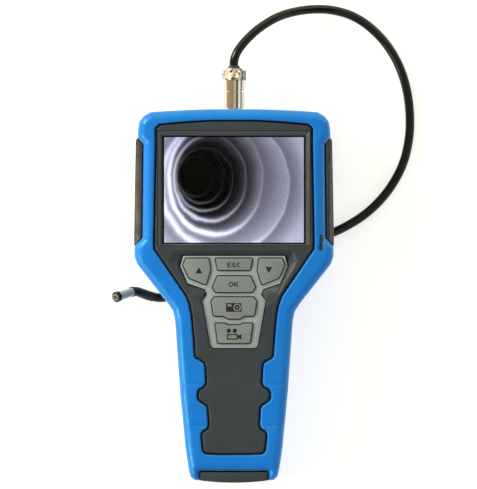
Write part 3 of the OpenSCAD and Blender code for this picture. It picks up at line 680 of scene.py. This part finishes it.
def copy_of(name, new_name):
    """A new piece with the mesh of a CAD node, its points merged."""
    mesh = nodes[name].data.copy()
    mesh.name = new_name
    work = bmesh.new()
    work.from_mesh(mesh)
    bmesh.ops.remove_doubles(work, verts=work.verts, dist=1e-6)
    work.to_mesh(mesh)
    work.free()
    piece = bpy.data.objects.new(new_name, mesh)
    bpy.context.scene.collection.objects.link(piece)
    return piece


def apply_all(piece):
    """The piece's mesh with its modifiers applied."""
    graph = bpy.context.evaluated_depsgraph_get()
    mesh = bpy.data.meshes.new_from_object(piece.evaluated_get(graph))
    piece.modifiers.clear()
    piece.data = mesh


def shave(piece, tools):
    for tool in tools:
        cut = piece.modifiers.new("cut", "BOOLEAN")
        cut.operation = "DIFFERENCE"
        cut.solver = "EXACT"
        cut.object = tool
    bpy.context.view_layer.update()
    apply_all(piece)
    for tool in tools:
        bpy.data.objects.remove(tool)
    work = bmesh.new()
    work.from_mesh(piece.data)
    bmesh.ops.remove_doubles(work, verts=work.verts, dist=2e-6)
    bmesh.ops.dissolve_degenerate(work, edges=work.edges, dist=1e-6)
    work.to_mesh(piece.data)
    work.free()
    piece.data.shade_smooth()
    by_angle(piece)


def finish_piece(piece, node, slot):
    """The piece stands for that CAD node and moves with its body."""
    wear(piece, slot)
    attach(piece, body_of[node])
    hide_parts(node)


body_of = {name: body for body, members in frame["record"]["behaviour"]["bodies"].items()
           for name in members}

# ------------------------------ boot

# The hollow across the back: it runs level between low and high and eases out to foot and head
ARCH = {
    "foot": -39 * MM + SHIFT, "low": -6 * MM + SHIFT, "high": 43 * MM + SHIFT,
    "head": 60 * MM + SHIFT,
}
ARCH_RISE = 10 * MM
SKIN = 0.02 * MM  # how far a rounded face lies within the CAD's
CREASES = (-45 * MM + SHIFT, -66 * MM + SHIFT)
CREASE_DEPTH = 0.35 * MM
CREASE_WIDTH = 0.8 * MM
HANDLE_END = -30 * MM
FRONT_EDGE = 4.4 * MM
BACK_EDGE = 3.6 * MM
OPENING_EDGE = 0.9 * MM


def arch(y):
    """Height of the back above the table."""
    up = np.clip((y - ARCH["foot"]) / (ARCH["low"] - ARCH["foot"]), 0, 1)
    down = np.clip((ARCH["head"] - y) / (ARCH["head"] - ARCH["high"]), 0, 1)
    share = np.minimum(up, down)
    return ARCH_RISE * share * share * (3 - 2 * share) + 0.2 * MM * np.sin(math.pi * share) ** 2


def creases(points):
    """Shallow creases across the sides of the handle, where the fingers close."""
    dip = np.zeros(len(points))
    for y in CREASES:
        dip += CREASE_DEPTH * np.exp(-((points[:, 1] - y) / CREASE_WIDTH) ** 2)
    return dip * (points[:, 1] < HANDLE_END)


def crease_rows(outline):
    """Points close enough together to shape the creases."""
    across = np.arange(outline[:, 0].min(), outline[:, 0].max(), 1.2 * MM)
    rows = np.array([(x, y + step * MM) for y in CREASES for step in (-1.6, -0.8, 0, 0.8, 1.6)
                     for x in across])
    return [tuple(p) for p in rows[inside(rows, outline)]]


def make_boot():
    outline, *holes = level_loops("rubber_boot", TOP)
    window = holes[0]

    def front(points):
        edge = fall(depth_in(points, outline), FRONT_EDGE)
        drop = np.maximum(edge, fall(distance(points, window), OPENING_EDGE))
        return TOP - SKIN - drop - creases(points)

    def back(points):
        return arch(points[:, 1]) + SKIN + fall(depth_in(points, outline), BACK_EDGE)

    inner = inner_side(outline)
    front_edges = [(outline, FRONT_EDGE, inner), (window, OPENING_EDGE, BOTH_SIDES)]
    tools = [
        shaver("front_shaver", outline, front_edges, front, TOP + CUTTER_REACH, 5 * MM,
               crease_rows(outline)),
        shaver("back_shaver", outline, [(outline, BACK_EDGE, inner)], back, -CUTTER_REACH, 3 * MM),
    ]
    boot = copy_of("rubber_boot", "boot_skin")
    shave(boot, tools)
    finish_piece(boot, "rubber_boot", "boot_rubber")


make_boot()

# ------------------------------ panel and keypad

PANEL_FACE = 41.2 * MM
PANEL_EDGE = 0.9 * MM
WINDOW_LIP = 0.3 * MM
POCKET_FOOT = -6 * MM + SHIFT  # where the keypad's pocket has risen to the face
POCKET_LENGTH = 26.8 * MM
POCKET_LIP = 0.32 * MM


def lip_drop(points, loop, depth):
    """How far a chamfer round an opening lies below its face."""
    away = np.where(inside(points, loop), 0, distance(points, loop))
    return np.maximum(depth - away, 0)


def make_panel():
    outline, *holes = level_loops("front_casing", PANEL_FACE)
    window, pocket = holes[:2]

    def front(points):
        risen = np.clip((points[:, 1] - POCKET_FOOT) / POCKET_LENGTH, 0, 1)
        lips = np.maximum(lip_drop(points, pocket, POCKET_LIP * risen),
                          lip_drop(points, window, WINDOW_LIP))
        return PANEL_FACE - SKIN - np.maximum(fall(depth_in(points, outline), PANEL_EDGE), lips)

    edges = [(outline, PANEL_EDGE, inner_side(outline)), (window, WINDOW_LIP, BOTH_SIDES),
             (pocket, POCKET_LIP, BOTH_SIDES)]
    tool = shaver("panel_shaver", outline, edges, front, PANEL_FACE + CUTTER_REACH, 4 * MM)
    panel = copy_of("front_casing", "front_panel")
    shave(panel, [tool])
    finish_piece(panel, "front_casing", "case_plastic")


make_panel()


GRIP_TOP = 38 * MM
GRIP_CURVE = (46.8 * MM, 51.2 * MM)  # from the middle: where the face curves away
GRIP_FALL = 3.4 * MM
GRIP_EDGE = 0.4 * MM


def make_grip(name):
    outline = level_loops(name, GRIP_TOP)[0]
    side = 1 if outline[:, 0].mean() > 0 else -1
    near, far = GRIP_CURVE

    def front(points):
        part = np.clip((side * points[:, 0] - near) / (far - near), 0, 1)
        curve = GRIP_FALL * (1 - np.sqrt(1 - part ** 2))
        return GRIP_TOP - SKIN - np.maximum(curve, fall(depth_in(points, outline), GRIP_EDGE))

    rows = np.array([(side * x, y) for x in np.arange(near, far, 0.5 * MM)
                     for y in np.arange(outline[:, 1].min(), outline[:, 1].max(), 2.5 * MM)])
    rows = [tuple(p) for p in rows[inside(rows, outline)]]
    tool = shaver(name + "_shaver", outline, [(outline, GRIP_EDGE, inner_side(outline))], front,
                  GRIP_TOP + CUTTER_REACH, 4 * MM, rows)
    skin = copy_of(name, name + "_skin")
    shave(skin, [tool])
    finish_piece(skin, name, "grip_rubber")


for grip in ("left_grip", "right_grip"):
    make_grip(grip)


LENS_RING = 1.28
LENS_WIRE = 0.17


def make_lens_trim():
    """The bright ring round the lens."""
    axis = Vector(HEAD_STEP).normalized()
    across = axis.cross(Vector((0, 0, 1))).normalized()
    up = across.cross(axis)
    centre = Vector(HEAD_BASE) + axis * HEAD_LENGTH
    around, sides = 36, 10
    work = bmesh.new()
    loops = []
    for i in range(around):
        a = 2 * math.pi * i / around
        out = across * math.cos(a) + up * math.sin(a)
        loop = []
        for k in range(sides):
            b = 2 * math.pi * k / sides
            reach = LENS_RING + LENS_WIRE * math.cos(b)
            place = centre + out * reach + axis * LENS_WIRE * math.sin(b)
            loop.append(work.verts.new(place * MM))
        loops.append(loop)
    for one, other in zip(loops, loops[1:] + loops[:1]):
        for k in range(sides):
            j = (k + 1) % sides
            work.faces.new([one[k], one[j], other[j], other[k]])
    trim = piece_from(work, "lens_trim")
    trim.data.shade_smooth()
    wear(trim, "barrel_steel")
    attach(trim, "housing")


make_lens_trim()


def round_pieces():
    soften("battery_cap", 0.7, 3)
    soften("rear_cover", 0.3, 2)
    soften("window_frame", 0.14, 2)
    soften("keypad_plate", 0.22, 3)
    for name in nodes:
        if name.startswith("key_") and name != "key_board":
            soften(name, 0.34, 4)
    for name in ("power_switch", "port_cover", "status_window"):
        soften(name, 0.12, 2)
    for name in ("coupling_nut", "plug_shell", "cable_clamp", "clamp_screws", "probe_socket",
                 "plug_boot", "head_sleeve", "camera_barrel", "tip_ring", "lens_window"):
        shade(name)


round_pieces()

# ------------------------------ legends

PRINT = 0.02 * MM
LETTER_STROKE = 0.52
DRAWING_STROKE = 0.62


def print_on(key, name, points_list):
    """Thin printed shapes on a key, as outlines in millimetres from the unit's middle."""
    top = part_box(key)[1].z
    work = bmesh.new()
    for points in points_list:
        lower = [work.verts.new((x * MM, y * MM + SHIFT, top - PRINT)) for x, y in points]
        upper = [work.verts.new((x * MM, y * MM + SHIFT, top + PRINT)) for x, y in points]
        work.faces.new(upper)
        work.faces.new(lower[::-1])
        for i in range(len(points)):
            j = (i + 1) % len(points)
            work.faces.new([lower[i], lower[j], upper[j], upper[i]])
    piece = piece_from(work, name)
    wear(piece, "tip_plastic")
    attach(piece, body_of[key])


def bar(x0, y0, x1, y1, thick):
    """A stroke from one point to another."""
    a, b = Vector((x0, y0)), Vector((x1, y1))
    d = (b - a).normalized()
    n = Vector((-d.y, d.x)) * thick / 2
    a, b = a - d * thick / 2, b + d * thick / 2
    return [tuple(a - n), tuple(b - n), tuple(b + n), tuple(a + n)]


def arc_strip(cx, cy, rx, ry, start, end, thick, steps=14):
    """A curved stroke, as short four-sided pieces."""
    angles = [math.radians(start + (end - start) * k / steps) for k in range(steps + 1)]
    inner, outer = [
        [(cx + (rx + half) * math.cos(a), cy + (ry + half) * math.sin(a)) for a in angles]
        for half in (-thick / 2, thick / 2)
    ]
    return [[inner[i], outer[i], outer[i + 1], inner[i + 1]] for i in range(steps)]


def disc(cx, cy, r, steps=20):
    return [(cx + r * math.cos(2 * math.pi * k / steps), cy + r * math.sin(2 * math.pi * k / steps))
            for k in range(steps)]


def block(left, low, right, high):
    return [(left, low), (right, low), (right, high), (left, high)]


def block_with_hole(left, low, right, high, cx, cy, r, steps=24):
    """A filled rectangle with a round hole, as four-sided pieces."""
    turn = 2 * math.pi
    corners = {math.atan2(y - cy, x - cx) % turn for x in (left, right) for y in (low, high)}
    angles = sorted({turn * k / steps for k in range(steps)} | corners)
    outer = []
    for a in angles:
        dx, dy = math.cos(a), math.sin(a)
        reach = min(((right if dx > 0 else left) - cx) / dx if abs(dx) > 1e-9 else 1e9,
                    ((high if dy > 0 else low) - cy) / dy if abs(dy) > 1e-9 else 1e9)
        outer.append((cx + dx * reach, cy + dy * reach))
    inner = [(cx + r * math.cos(a), cy + r * math.sin(a)) for a in angles]
    following = zip(inner[1:] + inner[:1], outer[1:] + outer[:1])
    return [[a, b, d, c] for a, b, (c, d) in zip(inner, outer, following)]


def word_shapes(word, cx, cy, height, wide):
    """Plain stroke letters for the generic words on keys."""
    thick = LETTER_STROKE
    half = height / 2
    pitch = wide + thick * 1.9
    shapes = []
    for index, letter in enumerate(word):
        x = cx + (index - (len(word) - 1) / 2) * pitch
        left, right = x - wide / 2, x + wide / 2
        start = left + thick
        if letter in "EK":
            shapes += [bar(left, cy - half, left, cy + half, thick)]
        if letter == "E":
            shapes += [bar(start, cy + s * half, right, cy + s * half, thick) for s in (-1, 0, 1)]
        if letter == "K":
            shapes += [bar(start, cy, right, cy + s * half, thick) for s in (1, -1)]
        if letter == "S":
            shapes += arc_strip(x, cy + half / 2, wide / 2, half / 2, 20, 270, thick)
            shapes += arc_strip(x, cy - half / 2, wide / 2, half / 2, 90, -160, thick)
        if letter == "C":
            shapes += arc_strip(x, cy, wide / 2, half, 48, 312, thick)
        if letter == "O":
            shapes += arc_strip(x, cy, wide / 2, half, 0, 360, thick, 24)
    return shapes


def photo_mark():
    """A still camera: its body in blocks, round a lens."""
    lens = block_with_hole(-0.7, -8.2, 3.85, -3.7, 1.6, -5.95, 1.95)
    glass = arc_strip(1.6, -5.95, 0.9, 0.9, 0, 360, 0.9, 24)
    body = [block(-4.0, -8.2, -0.7, -5.5), block(-4.0, -5.5, -3.3, -3.7),
            block(-1.3, -5.5, -0.7, -3.7), block(-3.3, -4.3, -1.3, -3.7)]
    return body + lens + glass


def video_mark():
    """A film camera: two reels above an open box, and its lens hood."""
    reels = [disc(-2.6, -17.8, 1.1), disc(0.4, -17.8, 1.1)]
    box = [bar(*ends, DRAWING_STROKE) for ends in (
        (-3.2, -19.7, 1.6, -19.7), (-3.2, -22.0, 1.6, -22.0), (-3.3, -22, -3.3, -19.7),
        (1.7, -22, 1.7, -19.7))]
    return [*reels, *box, [(1.9, -21.3), (3.8, -22.3), (3.8, -19.5), (1.9, -20.4)]]


def make_legends():
    print_on("key_up", "up_mark", [[(-19.6, 11.3), (-16.0, 11.3), (-17.8, 14.3)]])
    print_on("key_down", "down_mark", [[(19.5, 14.6), (17.7, 11.6), (15.9, 14.6)]])
    print_on("key_escape", "escape_mark", word_shapes("ESC", -0.1, 15.6, 2.0, 1.44))
    print_on("key_ok", "ok_mark", word_shapes("OK", -0.2, 5.8, 2.1, 1.75))
    print_on("key_photo", "photo_mark", photo_mark())
    print_on("key_video", "video_mark", video_mark())


make_legends()

# ------------------------------ stage and light


FLOOR_REACH = 4.0
FLOOR_GLOW = 0.68


def make_floor():
    n = Nodes("floor_paper")
    n.set(Base_Color=n.mix(n.noise(3), (0.50, 0.50, 0.50, 1), (0.54, 0.54, 0.54, 1)), Roughness=0.8)
    n.set(Emission_Color=(1, 1, 1, 1), Emission_Strength=FLOOR_GLOW)
    mesh = bpy.data.meshes.new("floor")
    corners = [(x * FLOOR_REACH, y * FLOOR_REACH, 0)
               for x, y in ((-1, -1), (1, -1), (1, 1), (-1, 1))]
    mesh.from_pydata(corners, [], [(0, 1, 2, 3)])
    mesh.materials.append(n.material)
    floor = bpy.data.objects.new("floor", mesh)
    floor.location.z = -0.2 * MM
    bpy.context.scene.collection.objects.link(floor)


# The tent round the object, from the left horizon over the top to the right: angle in degrees and
# linear colour
TENT = [
    (-90, (0.86, 0.80, 0.73)), (-82, (0.75, 0.66, 0.57)), (-77, (0.41, 0.31, 0.21)),
    (-40, (0.37, 0.27, 0.17)), (-8, (0.35, 0.25, 0.15)), (2, (0.51, 0.50, 0.41)),
    (22, (0.46, 0.46, 0.39)), (26, (0.06, 0.07, 0.05)), (43, (0.06, 0.07, 0.05)),
    (47, (0.86, 0.86, 0.86)), (73, (0.86, 0.86, 0.86)), (76, (0.04, 0.04, 0.04)),
    (90, (0.05, 0.05, 0.05)),
]
# Its ends towards +Y and -Y: the colour, and how far along Y that colour begins and is full
TENT_ENDS = [((1.18, 1.28, 0.78, 1), 0.35, 0.65), ((0.55, 0.55, 0.58, 1), -0.5, -0.75)]
TENT_LIGHT = 1.30


def part_way(tree, value, low, high, kind):
    """How far a value has come from low to high, from 0 to 1."""
    made = tree.nodes.new("ShaderNodeMapRange")
    made.interpolation_type = kind
    tree.links.new(value, made.inputs["Value"])
    made.inputs["From Min"].default_value = low
    made.inputs["From Max"].default_value = high
    return made.outputs["Result"]


def make_world():
    """A studio tent, whose colour depends only on the direction."""
    world = bpy.data.worlds.new("studio")
    bpy.context.scene.world = world
    world.use_nodes = True
    tree = world.node_tree
    place = tree.nodes.new("ShaderNodeTexCoord")
    split = tree.nodes.new("ShaderNodeSeparateXYZ")
    tree.links.new(place.outputs["Generated"], split.inputs[0])
    turn = tree.nodes.new("ShaderNodeMath")
    turn.operation = "ARCTAN2"
    tree.links.new(split.outputs["X"], turn.inputs[0])
    tree.links.new(split.outputs["Z"], turn.inputs[1])
    around = part_way(tree, turn.outputs[0], -math.pi / 2, math.pi / 2, "LINEAR")
    bands = tree.nodes.new("ShaderNodeValToRGB")
    stops = bands.color_ramp.elements
    while len(stops) < len(TENT):
        stops.new(0.5)
    for stop, (angle, colour) in zip(stops, TENT):
        stop.position = (angle + 90) / 180
        stop.color = (*colour, 1)
    tree.links.new(around, bands.inputs[0])
    result = bands.outputs[0]
    for colour, begins, full in TENT_ENDS:
        along = part_way(tree, split.outputs["Y"], begins, full, "SMOOTHSTEP")
        blend = tree.nodes.new("ShaderNodeMix")
        blend.data_type = "RGBA"
        tree.links.new(along, blend.inputs[0])
        tree.links.new(result, blend.inputs[6])
        blend.inputs[7].default_value = colour
        result = blend.outputs[2]
    tree.links.new(result, tree.nodes["Background"].inputs["Color"])
    tree.nodes["Background"].inputs["Strength"].default_value = TENT_LIGHT


LAMP_TARGET = Vector((0, 0.02, 0.02))


def lamp(name, place, size, power, colour):
    data = bpy.data.lights.new(name, "AREA")
    data.shape = "RECTANGLE"
    data.size = data.size_y = size
    data.energy = power
    data.color = colour
    light = bpy.data.objects.new(name, data)
    light.location = place
    light.rotation_mode = "QUATERNION"
    light.rotation_quaternion = (LAMP_TARGET - Vector(place)).to_track_quat("-Z", "Y")
    bpy.context.scene.collection.objects.link(light)


def light_scene():
    lamp("key_light", (-0.45, 0.38, 0.37), 0.16, 2.7, (1.0, 1.0, 0.76))
    lamp("left_light", (-0.48, -0.15, 0.34), 0.18, 1.9, (1.0, 1.0, 0.80))
    bpy.context.scene.view_settings.view_transform = "Standard"


make_floor()
make_world()
light_scene()
